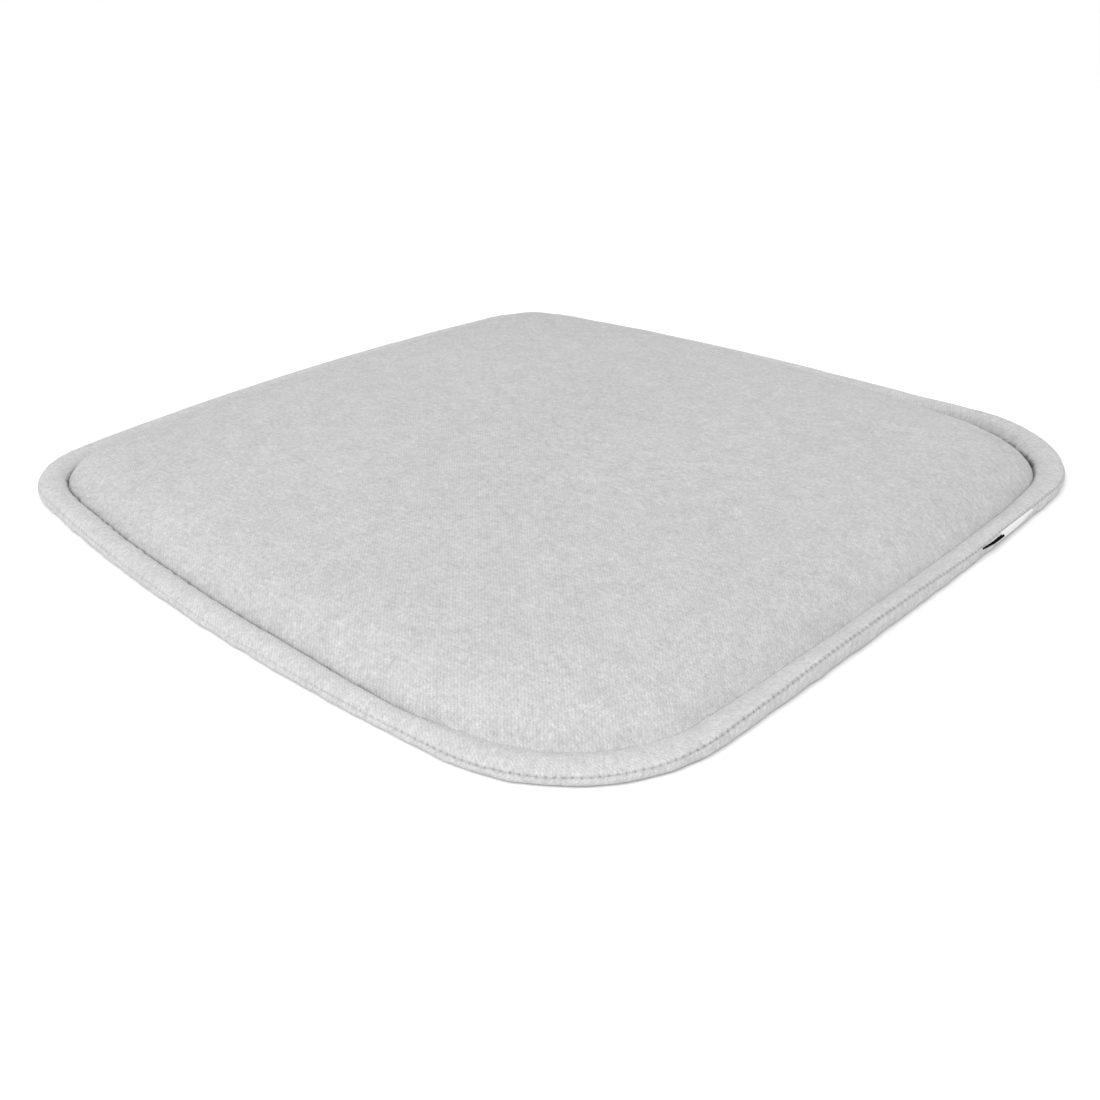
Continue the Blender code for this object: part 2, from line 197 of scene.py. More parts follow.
# The stops below are in metres along the seam. The front left corner is at 0.055, the front right at 0.444,
# the rear right at 0.829 and the rear left at 1.202. A name that ends in _mm gives millimetres.
seam_mm = profile(
    (0.0, 3.4), (0.05, 3.6), (0.075, 3.9), (0.09, 4.8), (0.108, 6.2), (0.145, 7.2), (0.165, 8.5),
    (0.20, 8.8), (0.25, 8.1), (0.275, 6.9), (0.288, 6.3), (0.307, 5.8), (0.32, 6.2), (0.33, 6.6),
    (0.36, 6.2), (0.42, 5.6), (0.80, 5.7), (1.19, 5.7), (1.26, 4.6), (1.33, 4.0), (1.45, 3.6),
)
band_mm = profile(
    (0.0, 12.2), (0.02, 12.9), (0.08, 12.8), (0.1, 11.8), (0.12, 11.3), (0.15, 11.0), (0.2, 10.6),
    (0.27, 10.2), (0.34, 9.6), (0.365, 10.1), (0.388, 11.6), (0.42, 14.8), (0.44, 18.5), (0.46, 21.0),
    (0.48, 21.9), (0.50, 21.6), (0.52, 20.8), (0.54, 19.7), (0.57, 18.0), (0.60, 16.2), (0.64, 14.3),
    (0.70, 13.2), (1.16, 13.0), (1.2, 14.0), (1.22, 13.4), (1.25, 11.9), (1.43, 11.5), (1.453, 10.8),
    (1.47, 9.9), (1.49, 9.0), (1.507, 8.9), (1.522, 10.4),
)
# The roll of the band, over a straight line from the seam to the crease.
bulge_mm = profile(
    (0.0, 1.9), (0.06, 1.8), (0.12, 1.4), (0.18, 1.0), (0.3, 1.3), (0.38, 1.9), (0.42, 3.0),
    (0.44, 4.0), (0.46, 4.8), (0.48, 5.3), (0.50, 5.1), (0.52, 4.2), (0.54, 3.0), (0.57, 2.3),
    (0.65, 2.2), (1.2, 2.4), (1.4, 2.2),
)
# How much wider than elsewhere the dome's shoulder is.
softness = profile(
    (0.0, 1.2), (0.06, 1.5), (0.3, 1.5), (0.38, 1.15), (0.44, 1.23), (0.50, 1.25), (0.54, 1.1),
    (0.6, 1.0), (1.2, 1.0), (1.5, 1.05),
)
# How tight the crease is drawn, from 0 for a soft valley to about 1 for a slit. It sets both the crease's dip
# and its painted shade.
tightness = profile(
    (0.0, 0.0), (0.06, 0.02), (0.1, 0.02), (0.2, 0.03), (0.33, 0.10), (0.37, 0.13), (0.392, 0.20),
    (0.41, 0.80), (0.43, 1.40), (0.455, 1.40), (0.48, 1.20), (0.51, 0.90), (0.56, 0.55), (0.6, 0.40),
    (1.1, 0.3), (1.185, 0.3), (1.205, 0.55), (1.22, 0.75), (1.25, 0.62), (1.47, 0.60), (1.495, 0.55),
    (1.512, 0.30), (1.525, 0.03),
)
# How strong the painted shade of the outer seam is.
painted_seam_strength = profile(
    (0.0, 1.4), (0.05, 1.4), (0.07, 1.1), (0.1, 1.6), (0.2, 1.4), (0.3, 1.3), (0.42, 0.9), (0.6, 0.6),
    (1.2, 0.45), (1.33, 0.55), (1.40, 0.4), (1.5, 0.7),
)


def seam_height(along):
    """The outer seam wanders up and down between the rolled band and the lower band."""
    return (seam_mm(along) + 0.10 * wander(along, 3, 0.2, 0.05) * (1 - near(along, REAR_SIDE, 0.2))) * MM


def band_width(along):
    nips = 0.28 * near(along, REAR_LEFT + 0.11, 0.11) * wander(along, 7, 0.014, 0.006)
    drift = (0.12 + 0.18 * near(along, REAR_LEFT, 0.08)) * wander(along, 5, 0.12, 0.022)
    return (band_mm(along) + drift + nips) * MM


def crease_depth(along):
    """How far both fabrics dip into the crease."""
    return (0.10 + 2.4 * tightness(along)) * MM


def painted_crease_shade(along, away, spread):
    """Painted shade of the crease, multiplied into the cloth's colour, 1 for none, away from it.

    A tight crease gets painted shade further up its walls. An open valley gets a painted highlight, as if lit
    from both its sides. The band by the front right corner gets a painted shadow.
    """
    uneven = np.clip(1 + 0.30 * wander(along, 31, 0.03, 0.006), 0, 2)
    tight = tightness(along) * uneven
    reach = (0.40 + spread * tight) * MM
    # painted shade along a tight crease
    line = 0.70 * np.clip(tight, 0, 1.3) * np.exp(-((away / reach) ** 3))
    # a painted shadow on the band by the front right corner
    painted_corner_shadow = 0.36 * spread * near(along, FRONT_RIGHT + 0.045, 0.055) * np.exp(-((away / (6.5 * MM)) ** 2))
    # a painted highlight in an open valley
    painted_valley_light = 0.10 * np.clip(1 - tight / 0.2, 0, 1) * np.exp(-((away / (1.8 * MM)) ** 2))
    return (1 - line) * (1 - painted_corner_shadow) * (1 + painted_valley_light)


def painted_seam_shade(along, away):
    """Painted shade of the outer seam's groove, multiplied into the cloth's colour, deepest at the needle
    holes.
    """
    holes = (0.5 + 0.5 * np.cos(2 * math.pi * along * STITCHES / SEAM_LENGTH)) ** 3
    return 1 - painted_seam_strength(along) * (0.22 + 0.42 * holes) * np.exp(-((away / (0.45 * MM)) ** 2))


def seam_tuck(away, reach):
    """How far the fabric is drawn in at the outer seam."""
    return 0.8 * MM * np.exp(-away / reach)


def stitch_scallop(along):
    """The stitches draw the edge in and out, once each."""
    return 0.12 * MM * np.cos(2 * math.pi * along * STITCHES / SEAM_LENGTH)


def corner_pull(along):
    corners = (REAR_LEFT, FRONT_RIGHT, REAR_RIGHT, FRONT_LEFT)
    return sum(near(along, corner, 0.045) for corner in corners)


def crown(depth, along):
    """Height of the domed panel over the crease, at a distance inside it."""
    (shoulder, shoulder_run), (rise, run) = CROWN_RISES
    soft = 1 - np.exp(-depth / (shoulder_run * softness(along)))
    return shoulder * soft + rise * (1 - np.exp(-depth / run))


# ------------------------------------------------------------------ meshes


def with_painted_shade(piece, painted_shade):
    """Keeps a painted shade and light for every vertex, 1 for none, which the cover's material multiplies its
    colour by.
    """
    layer = piece.data.attributes.new("painted_shade", "FLOAT", "POINT")
    layer.data.foreach_set("value", np.asarray(painted_shade, np.float32).ravel())
    return piece


def mesh_object(name, points, faces, uv=None):
    data = bpy.data.meshes.new(name)
    data.from_pydata(np.asarray(points).reshape(-1, 3).tolist(), [], faces)
    if uv is not None:
        layer = data.uv_layers.new(name="weave")
        layer.data.foreach_set("uv", np.asarray(uv, np.float32).ravel())
    data.shade_smooth()
    made = bpy.data.objects.new(name, data)
    bpy.context.scene.collection.objects.link(made)
    return made


def strip(name, along, points, closed):
    """A strip swept along the seam, points[station, across]. Its UV runs in metres along and across it."""
    stations, across = points.shape[:2]
    steps = np.linalg.norm(np.diff(points, axis=1), axis=2).mean(axis=0)
    width = np.concatenate([[0.0], np.cumsum(steps)])
    faces, uv = [], []
    for i in range(stations if closed else stations - 1):
        there = (i + 1) % stations
        start = along[i]
        end = along[i + 1] if i + 1 < stations else along[0] + SEAM_LENGTH
        for j in range(across - 1):
            faces.append((i * across + j, i * across + j + 1, there * across + j + 1, there * across + j))
            uv += [(start, width[j]), (start, width[j + 1]), (end, width[j + 1]), (end, width[j])]
    return mesh_object(name, points, faces, uv)


def thicken(piece, thickness=FABRIC):
    solid = piece.modifiers.new("thickness", "SOLIDIFY")
    solid.thickness = thickness
    solid.offset = -1.0
    return piece


def facing_up(piece):
    """Turns every face so that the sheet faces up."""
    mesh = bmesh.new()
    mesh.from_mesh(piece.data)
    mesh.normal_update()
    turned = [face for face in mesh.faces if face.normal.z < 0]
    bmesh.ops.reverse_faces(mesh, faces=turned)
    mesh.to_mesh(piece.data)
    mesh.free()
    return piece


def seam_grid():
    return np.linspace(0, SEAM_LENGTH, STITCHES * 4, endpoint=False)


# ------------------------------------------------------------------ materials


class Shader:
    """A short way to write a material's nodes: every call adds one node and returns its output."""

    def __init__(self, name):
        self.material = bpy.data.materials.new(name)
        self.material.use_nodes = True
        self.tree = self.material.node_tree
        self.surface = self.tree.nodes["Principled BSDF"]

    def node(self, kind, settings=None, **inputs):
        made = self.tree.nodes.new(kind)
        for key, value in (settings or {}).items():
            setattr(made, key, value)
        for key, value in inputs.items():
            self.set(made.inputs[int(key[1:]) if key[0] == "i" and key[1:].isdigit() else key], value)
        return made

    def set(self, socket, value):
        if isinstance(value, bpy.types.NodeSocket):
            self.tree.links.new(value, socket)
        else:
            socket.default_value = value

    def math(self, operation, first, second=0.0, third=0.0):
        return self.node("ShaderNodeMath", {"operation": operation}, i0=first, i1=second, i2=third).outputs[0]

    def vector(self, x, y, z=0.0):
        return self.node("ShaderNodeCombineXYZ", None, i0=x, i1=y, i2=z).outputs[0]

    def noise(self, where, scale, detail=2.0, roughness=0.5):
        inputs = {"Vector": where, "Scale": scale, "Detail": detail, "Roughness": roughness}
        return self.node("ShaderNodeTexNoise", **inputs).outputs["Fac"]

    def level(self, value, low, high, to_low=0.0, to_high=1.0):
        made = self.node("ShaderNodeMapRange", None, Value=value)
        for key, number in zip(("From Min", "From Max", "To Min", "To Max"), (low, high, to_low, to_high)):
            made.inputs[key].default_value = number
        return made.outputs["Result"]

    def mix(self, share, first, second):
        made = self.node("ShaderNodeMix", {"data_type": "RGBA"}, Factor=share)
        self.set(made.inputs[6], first)
        self.set(made.inputs[7], second)
        return made.outputs[2]

    def bump(self, height, distance, strength=1.0):
        made = self.node("ShaderNodeBump", None, Height=height, Distance=distance, Strength=strength)
        self.set(self.surface.inputs["Normal"], made.outputs["Normal"])

    def finish(self, colour, roughness, sheen=0.0, metallic=0.0, specular=0.25):
        self.set(self.surface.inputs["Base Color"], colour)
        self.set(self.surface.inputs["Roughness"], roughness)
        self.surface.inputs["Metallic"].default_value = metallic
        self.surface.inputs["Sheen Weight"].default_value = sheen
        self.surface.inputs["Sheen Roughness"].default_value = 0.45
        self.surface.inputs["Specular IOR Level"].default_value = specular
        return self.material


def grey(value, warmth=0.0):
    return (value * (1 + warmth), value, value * (1 - warmth), 1.0)


def heather_twill(name, from_uv):
    """Light grey heather twill: yarns 0.6 mm apart, three to a repeat, with fine diagonal ribs.

    The strips round the edge use their UV, and their colour is painted lighter than the panel's, for how the
    light falls on them.
    """
    shader = Shader(name)
    coordinates = shader.node("ShaderNodeTexCoord")
    where = coordinates.outputs["UV" if from_uv else "Object"]
    parts = shader.node("ShaderNodeSeparateXYZ", None, i0=where)
    yarn = 1 / YARN
    drift = shader.level(shader.noise(where, 180.0), 0.25, 0.75, -0.45, 0.45)
    x = shader.math("MULTIPLY_ADD", parts.outputs[0], yarn, drift)
    y = shader.math("MULTIPLY_ADD", parts.outputs[1], -yarn if not from_uv else yarn, drift)
    diagonal = shader.math("SINE", shader.math("MULTIPLY", shader.math("ADD", x, y), 2 * math.pi / 3))
    warp_up = shader.level(diagonal, -0.6, 0.6)
    warp = shader.math("ABSOLUTE", shader.math("SINE", shader.math("MULTIPLY", x, math.pi)))
    weft = shader.math("ABSOLUTE", shader.math("SINE", shader.math("MULTIPLY", y, math.pi)))
    height = shader.node("ShaderNodeMix", None, Factor=warp_up, i2=weft, i3=warp).outputs[0]

    def flecks(along_x, along_y, seed):
        return shader.noise(shader.vector(shader.math("MULTIPLY", x, along_x),
                                          shader.math("MULTIPLY", y, along_y), seed), 1.0, 2.0, 0.6)

    warp_flecks = flecks(1.0, 0.22, 3.0)
    weft_flecks = flecks(0.22, 1.0, 9.0)
    fleck = shader.node("ShaderNodeMix", None, Factor=warp_up, i2=weft_flecks, i3=warp_flecks).outputs[0]
    slubs = flecks(0.55, 0.07, 5.0)
    mottle = shader.noise(where, 450.0, 3.0, 0.62)
    tones = (
        shader.level(fleck, 0.2, 0.8, 0.80, 1.20),
        shader.level(slubs, 0.25, 0.75, 0.92, 1.08),
        shader.level(mottle, 0.2, 0.8, 0.85, 1.15),
        shader.level(diagonal, -1.0, 1.0, 0.955, 1.045),
        # painted shade between the yarns, darker where the weave sinks
        shader.level(height, 0.0, 0.5, 0.90, 1.01),
        shader.level(shader.noise(where, 110.0, 3.0), 0.3, 0.7, 0.955, 1.045),
        shader.level(shader.noise(where, 9.0, 1.0), 0.35, 0.65, 0.985, 1.015),
        # the painted shade and light kept on the mesh's vertices
        shader.node("ShaderNodeAttribute", {"attribute_name": "painted_shade"}).outputs["Fac"],
    )
    tone = tones[0]
    for other in tones[1:]:
        tone = shader.math("MULTIPLY", tone, other)
    # painted light: the edge strips are made lighter than the panel
    plain = grey(COVER_GREY * (STRIP_PAINTED_LIGHT if from_uv else 1.0))[:3]
    colour = shader.node("ShaderNodeVectorMath", {"operation": "SCALE"}, i0=plain, Scale=tone).outputs[0]
    fuzz = shader.noise(where, 2600.0, 2.0)
    shader.bump(shader.math("MULTIPLY_ADD", fuzz, 0.35, height), 0.14 * MM, 0.8)
    return shader.finish(colour, shader.level(fleck, 0.3, 0.7, 0.84, 0.98), sheen=0.04, specular=0.15)


def felt(name):
    shader = Shader(name)
    where = shader.node("ShaderNodeTexCoord").outputs["Object"]
    fibres = shader.noise(where, 900.0, 6.0, 0.7)
    blotches = shader.noise(where, 30.0, 2.0)
    tone = shader.math("MULTIPLY_ADD", blotches, 0.3, fibres)
    colour = shader.mix(shader.level(tone, 0.4, 0.9), grey(0.20), grey(0.36))
    shader.bump(fibres, 0.2 * MM, 0.8)
    return shader.finish(colour, 0.95, sheen=0.2)


def rubber_dots(name):
    shader = Shader(name)
    where = shader.node("ShaderNodeTexCoord").outputs["Object"]
    grain = shader.noise(where, 1500.0, 3.0)
    colour = shader.mix(grain, grey(0.10), grey(0.15))
    shader.bump(grain, 0.03 * MM, 0.6)
    return shader.finish(colour, shader.level(grain, 0.3, 0.7, 0.5, 0.65))


def foam(name):
    shader = Shader(name)
    where = shader.node("ShaderNodeTexCoord").outputs["Object"]
    cells = shader.node("ShaderNodeTexVoronoi", None, Vector=where, Scale=900.0).outputs["Distance"]
    mottle = shader.noise(where, 40.0, 3.0)
    tone = shader.math("MULTIPLY_ADD", mottle, 0.5, cells)
    colour = shader.mix(shader.level(tone, 0.2, 1.1), (0.62, 0.56, 0.40, 1.0), (0.88, 0.84, 0.70, 1.0))
    shader.bump(cells, 0.5 * MM, 0.9)
    return shader.finish(colour, 0.9)


def wadding(name):
    shader = Shader(name)
    where = shader.node("ShaderNodeTexCoord").outputs["Object"]
    fibres = shader.noise(where, 500.0, 8.0, 0.75)
    colour = shader.mix(shader.level(fibres, 0.35, 0.65), grey(0.72), grey(0.92))
    shader.bump(fibres, 0.6 * MM, 0.8)
    return shader.finish(colour, 1.0, sheen=0.4)


def thread(name, value):
    shader = Shader(name)
    where = shader.node("ShaderNodeTexCoord").outputs["Object"]
    plies = shader.noise(where, 3500.0, 2.0)
    colour = shader.mix(plies, grey(value * 0.8), grey(value * 1.1))
    shader.bump(plies, 0.05 * MM, 0.8)
    return shader.finish(colour, 0.65, sheen=0.1)


def ribbon(name, low, high, ribs, roughness, specular):
    """A blank woven ribbon, its ribs across the label."""
    shader = Shader(name)
    where = shader.node("ShaderNodeTexCoord").outputs["Object"]
    parts = shader.node("ShaderNodeSeparateXYZ", None, i0=where)
    turns = shader.math("MULTIPLY", parts.outputs[0], 2 * math.pi / ribs)
    rib = shader.level(shader.math("SINE", turns), -1.0, 1.0)
    grain = shader.noise(where, 2500.0, 3.0)
    tone = shader.math("MULTIPLY_ADD", grain, 0.5, shader.math("MULTIPLY", rib, 0.5))
    shader.bump(tone, 0.06 * MM, 0.8)
    return shader.finish(shader.mix(tone, grey(low), grey(high)), roughness, specular=specular)


def tape(name):
    shader = Shader(name)
    where = shader.node("ShaderNodeTexCoord").outputs["Object"]
    parts = shader.node("ShaderNodeSeparateXYZ", None, i0=where)
    turns = [shader.math("MULTIPLY", parts.outputs[i], 2 * math.pi / YARN) for i in (0, 2)]
    height = shader.math("MULTIPLY", *[shader.math("SINE", turn) for turn in turns])
    grain = shader.noise(where, 1800.0, 3.0)
    tone = shader.math("MULTIPLY_ADD", height, 0.15, grain)
    shader.bump(height, 0.08 * MM, 0.8)
    return shader.finish(shader.mix(tone, grey(0.42), grey(0.60)), 0.85, sheen=0.15)


def nylon(name):
    shader = Shader(name)
    where = shader.node("ShaderNodeTexCoord").outputs["Object"]
    grain = shader.noise(where, 900.0, 2.0)
    shader.bump(grain, 0.02 * MM, 0.5)
    return shader.finish(shader.mix(grain, grey(0.50), grey(0.60)), shader.level(grain, 0.3, 0.7, 0.32, 0.45))


def satin_metal(name):
    shader = Shader(name)
    where = shader.node("ShaderNodeTexCoord").outputs["Object"]
    brushed = shader.noise(where, 1200.0, 4.0, 0.7)
    worn = shader.noise(where, 220.0, 2.0)
    shader.bump(brushed, 0.01 * MM, 0.4)
    colour = shader.mix(worn, (0.50, 0.50, 0.52, 1.0), (0.66, 0.66, 0.67, 1.0))
    return shader.finish(colour, shader.level(brushed, 0.3, 0.7, 0.24, 0.42), metallic=1.0)


# ------------------------------------------------------------------ cover


def panel_points():
    """Rows that follow the crease closely, then an even field of points inside them."""
    rows = np.array([0.0, 0.25, 0.55, 0.9, 1.3, 1.8, 2.5, 3.6, 5.2, 7.4, 10.4]) * MM
    count = 680
    along = np.linspace(0, SEAM_LENGTH, count, endpoint=False)
    rim = [place(along, band_width(along) + SLIT + row, 0.0)[:, :2] for row in rows]
    step = 5.0 * MM
    xs = np.arange(-0.22, 0.22, step)
    ys = np.arange(-0.22, 0.22, step * math.sqrt(3) / 2)
    field = np.array([(x + step / 2 * (j % 2), y) for j, y in enumerate(ys) for x in xs])
    inside, nearest = distance_inside(field)
    field = field[inside > band_width(nearest) + rows[-1] + 0.6 * step]
    return np.concatenate([*rim, field]), count


def triangulated(flat, rim_count):
    """Points and triangles of a flat field. Its first rim_count points are its closed edge, returned last."""
    edges = [(i, (i + 1) % rim_count) for i in range(rim_count)]
    points, _, faces, *_ = delaunay_2d_cdt([Vector(point) for point in flat], edges, [], 1, 1e-6)
    return np.array([tuple(point) for point in points]), faces, edges


def staggered(step):
    """A field of points over the whole pad, every other row shifted by half a step."""
    grid = np.arange(-0.22, 0.22, step)
    return np.array([(x + step / 2 * (j % 2), y) for j, y in enumerate(grid) for x in grid])


def distance_inside(flat):
    """Distance of points from the outer seam, negative outside it, and how far along the seam they are."""
    along = np.linspace(0, SEAM_LENGTH, 1600, endpoint=False)
    edge, outwards = seam(along)
    distances, nearest = [], []
    for block in np.array_split(flat, 12):
        gaps = block[:, None, :] - edge[None]
        index = (gaps**2).sum(axis=2).argmin(axis=1)
        gap = gaps[np.arange(len(block)), index]
        distances.append(-(gap * outwards[index]).sum(axis=1))
        nearest.append(along[index])
    return np.concatenate(distances), np.concatenate(nearest)


def panel_height(flat):
    """Height and painted shade of the domed panel: crown, dip into the crease and a slight unevenness of the
    foam.
    """
    inside, along = distance_inside(flat)
    depth = np.maximum(inside - band_width(along), 0.0)
    dip = crease_depth(along) * np.exp(-depth / (0.45 * MM))
    gathers = (0.05 + 0.10 * corner_pull(along)) * MM * wander(along, 11, 0.05, 0.011)
    gathers *= np.exp(-depth / (9 * MM)) * (1 - np.exp(-depth / (1.5 * MM)))
    x, y = flat.T
    uneven = 0.22 * MM * np.sin(x * 37 + 1.1) * np.sin(y * 31 + 0.4) + 0.10 * MM * np.sin(x * 83 - y * 61)
    height = CREASE_HEIGHT + crown(depth, along) - dip + gathers + uneven * (1 - np.exp(-depth / (30 * MM)))
    return height, painted_crease_shade(along, depth, 0.25)


def settle(piece, pinned, cap):
    """Cloth simulation: the panel, cut a little large, is sewn down at its rim and lies on springy foam.

    A soft pin holds every other point near the foam's surface, so that the spare cloth gathers.
    """
    group = piece.vertex_groups.new(name="held")
    group.add(list(range(pinned)), 1.0, "REPLACE")
    group.add(list(range(pinned, len(piece.data.vertices))), 0.012, "REPLACE")
    rest = np.array([vertex.co for vertex in piece.data.vertices])
    cloth = piece.modifiers.new("cloth", "CLOTH").settings
    cloth.quality = 6
    cloth.mass = 0.25
    cloth.tension_stiffness = 40
    cloth.compression_stiffness = 40
    cloth.shear_stiffness = 20
    cloth.bending_stiffness = 2.0
    cloth.shrink_min = -0.004
    cloth.vertex_group_mass = "held"
    cloth.pin_stiffness = 1.0
    cloth.use_pressure = True
    cloth.uniform_pressure_force = 0.4
    cloth.effector_weights.gravity = 0.0
    scene = bpy.context.scene
    for number in range(1, 21):
        scene.frame_set(number)
    evaluated = piece.evaluated_get(bpy.context.evaluated_depsgraph_get())
    moved = np.array([vertex.co for vertex in evaluated.data.vertices]) - rest
    piece.modifiers.remove(piece.modifiers["cloth"])
    scene.frame_set(1)
    length = np.linalg.norm(moved, axis=1, keepdims=True)
    moved *= cap * np.tanh(length / cap) / np.maximum(length, 1e-9)
    piece.data.vertices.foreach_set("co", (rest + moved).astype(np.float32).ravel())
    piece.data.update()


def domed_panel():
    flat, rim_count = panel_points()
    points, faces, _ = triangulated(flat, rim_count)
    height, painted_shade = panel_height(points)
    piece = with_painted_shade(mesh_object("domed_panel", np.column_stack([points, height]), faces), painted_shade)
    facing_up(piece)
    settle(piece, 7 * rim_count, 0.5 * MM)
    smooth = piece.modifiers.new("smooth", "SUBSURF")
    smooth.levels = smooth.render_levels = 1
    thicken(piece)
    piece.data.materials.append(heather_twill("panel_twill", False))
    return piece


def rolled_band():
    """The border from the outer seam over the roll and into the crease."""
    along = seam_grid()[:, None]
    part = (1 - np.cos(np.linspace(0, math.pi, 29))) / 2
    width = band_width(along) - SLIT
    height = seam_height(along)
    pull = corner_pull(along)
    bulge = (bulge_mm(along) + 0.15 * wander(along, 17, 0.1, 0.03)) * MM
    soft = np.where(part > 0.5, 0.55 * np.clip(1 - tightness(along) / 0.4, 0, 1), 0.0)
    roll = bulge * (4 * part * (1 - part)) ** (0.72 + soft)
    straight = height + (CREASE_HEIGHT - height) * part
    from_crease, from_seam = (1 - part) * width, part * width
    dip = crease_depth(along) * np.exp(-from_crease / (0.6 * MM))
    tuck = seam_tuck(from_seam, 0.40 * MM)
    across = np.sin(part * math.pi) ** 0.7
    folds = (0.06 + 0.26 * pull) * MM * wander(along + 0.004 * part, 23, 0.03, 0.009) * across
    stitched = stitch_scallop(along) * np.exp(-from_seam / (1.6 * MM))
    points = place(along, part * width + tuck + stitched, straight + roll - dip + folds)
    piece = thicken(strip("rolled_band", along[:, 0], points, True))
    # painted shade of the crease and of the outer seam, kept on the band's vertices
    with_painted_shade(piece, painted_crease_shade(along, from_crease, 0.85) * painted_seam_shade(along, from_seam))
    piece.data.materials.append(heather_twill("band_twill", True))
    return piece


def lower_band():
    """From the outer seam down and under the edge, cut away below the seam where the zip is."""
    before, after = REAR_SIDE - ZIP_HALF_LENGTH, REAR_SIDE + ZIP_HALF_LENGTH
    turn = np.linspace(0, math.pi / 2, 14) ** 1.3 / (math.pi / 2) ** 0.3

    def section(along, top, seamed):
        away = top * np.sin(turn)
        tuck = seamed * seam_tuck(away, 0.35 * MM)
        swell = (0.35 + 0.25 * wander(along, 29, 0.05, 0.012)) * MM * np.sin(2 * turn)
        inset = 2.6 * MM * (1 - np.cos(turn)) ** 1.4 + tuck - swell
        height = HEM_FABRIC + (top - HEM_FABRIC) * (1 - np.sin(turn) ** 1.1)
        stitched = seamed * stitch_scallop(along) * np.exp(-turn / 0.3)
        wall = place(along, inset + stitched, height)
        # painted shade of the outer seam; none on the strip under the zip
        painted_shade = painted_seam_shade(along, away) if seamed else np.ones(wall.shape[:2])
        hem = place(along, HEM_INSET + 0.4 * MM, HEM_FABRIC + 0.05 * MM)
        return np.concatenate([wall, hem], axis=1), np.concatenate([painted_shade, np.ones((len(along), 1))], axis=1)

    pieces = []
    for name, start, end, count, at_zip in (
        ("lower_band_strip", after, before + SEAM_LENGTH, 1500, False),
        ("zip_hem_strip", before, after, 170, True),
    ):
        along = np.linspace(start, end, count)[:, None]
        top = np.full_like(along, ZIP_WINDOW_BASE) if at_zip else seam_height(along)
        points, painted_shade = section(along, top, not at_zip)
        piece = with_painted_shade(strip(name, along[:, 0], points, False), painted_shade)
        piece.data.flip_normals()
        thicken(piece, HEM_FABRIC)
        piece.data.materials.append(heather_twill(name + "_twill", True))
        pieces.append(piece)
    return pieces


def underside():
    """The flat base of the cover, with a field of small grip dots."""
    count = 400
    along = np.linspace(0, SEAM_LENGTH, count, endpoint=False)
    rim = place(along, HEM_INSET - 0.2 * MM, 0.0)[:, :2]
    step = 12 * MM
    field = staggered(step)
    field = field[distance_inside(field)[0] > HEM_INSET + 0.5 * step]
    points, faces, _ = triangulated(np.concatenate([rim, field]), count)
    base = mesh_object("underside_felt", np.column_stack([points, np.full(len(points), 0.35 * MM)]), faces)
    facing_up(base)
    base.data.flip_normals()
    thicken(base, 0.6 * MM)
    base.data.materials.append(felt("underside_felt"))

    sides = 8
    rings = ((0.9 * MM, 0.4 * MM), (0.75 * MM, 0.12 * MM), (0.4 * MM, 0.0))
    angles = np.linspace(0, 2 * math.pi, sides, endpoint=False)
    shape = np.array([(r * math.cos(a), r * math.sin(a), z) for r, z in rings for a in angles])
    dots = field[distance_inside(field)[0] > HEM_INSET + 8 * MM]
    points, faces = [], []
    for x, y in dots:
        first = len(points) * len(shape)
        points.append(shape + (x, y, 0.0))
        for ring in range(len(rings) - 1):
            for side in range(sides):
                here, there = side, (side + 1) % sides
                low, high = first + ring * sides, first + (ring + 1) * sides
                faces.append((low + here, high + here, high + there, low + there))
        faces.append([first + (len(rings) - 1) * sides + side for side in reversed(range(sides))])
    grip = mesh_object("grip_dots", np.concatenate(points), faces)
    grip.data.materials.append(rubber_dots("grip_rubber"))
    return base, grip


# ------------------------------------------------------------------ filling


def slab(name, inset, top_of, bottom_of, material):
    """A closed layer inside the cover. top_of and bottom_of give heights from places inside the crease."""
    count, step = 240, 9.0 * MM
    along = np.linspace(0, SEAM_LENGTH, count, endpoint=False)
    rim = place(along, band_width(along) + inset, 0.0)[:, :2]
    field = staggered(step)
    inside, nearest = distance_inside(field)
    field = field[inside > band_width(nearest) + inset + 0.5 * step]
    flat, faces, edges = triangulated(np.concatenate([rim, field]), count)
    inside, nearest = distance_inside(flat)
    depth = inside - band_width(nearest)
    layers = [np.column_stack([flat, face(depth, nearest)]) for face in (top_of, bottom_of)]
    size = len(flat)
    closed = [list(face) for face in faces] + [[i + size for i in reversed(face)] for face in faces]
    closed += [[i, i + size, there + size, there] for i, there in edges]
    piece = mesh_object(name, np.concatenate(layers), closed)
    mesh = bmesh.new()
    mesh.from_mesh(piece.data)
    bmesh.ops.recalc_face_normals(mesh, faces=mesh.faces)
    mesh.to_mesh(piece.data)
    mesh.free()
    piece.data.materials.append(material)
    return piece


def fillings():
    """Wadding over a foam core, and a thin foam sheet under it."""

    def under_cover(drop):
        return lambda depth, along: CREASE_HEIGHT + crown(depth, along) - drop

    def flat(height):
        return lambda depth, along: np.full(len(depth), height)

    fleece = wadding("polyester_wadding")
    layers = (
        slab("wadding_layer", 5.0 * MM, under_cover(2.0 * MM), under_cover(3.2 * MM), fleece),
        slab("foam_block", 6.0 * MM, under_cover(3.4 * MM), flat(5.5 * MM), foam("core_foam")),
        slab("foam_sheet", 3.5 * MM, flat(5.2 * MM), flat(1.3 * MM), foam("sheet_foam")),
    )
    return zip(layers, ("wadding", "foam", "foam"), ("wadding_sheet", "foam_core", "base_foam"))


# ------------------------------------------------------------------ trim


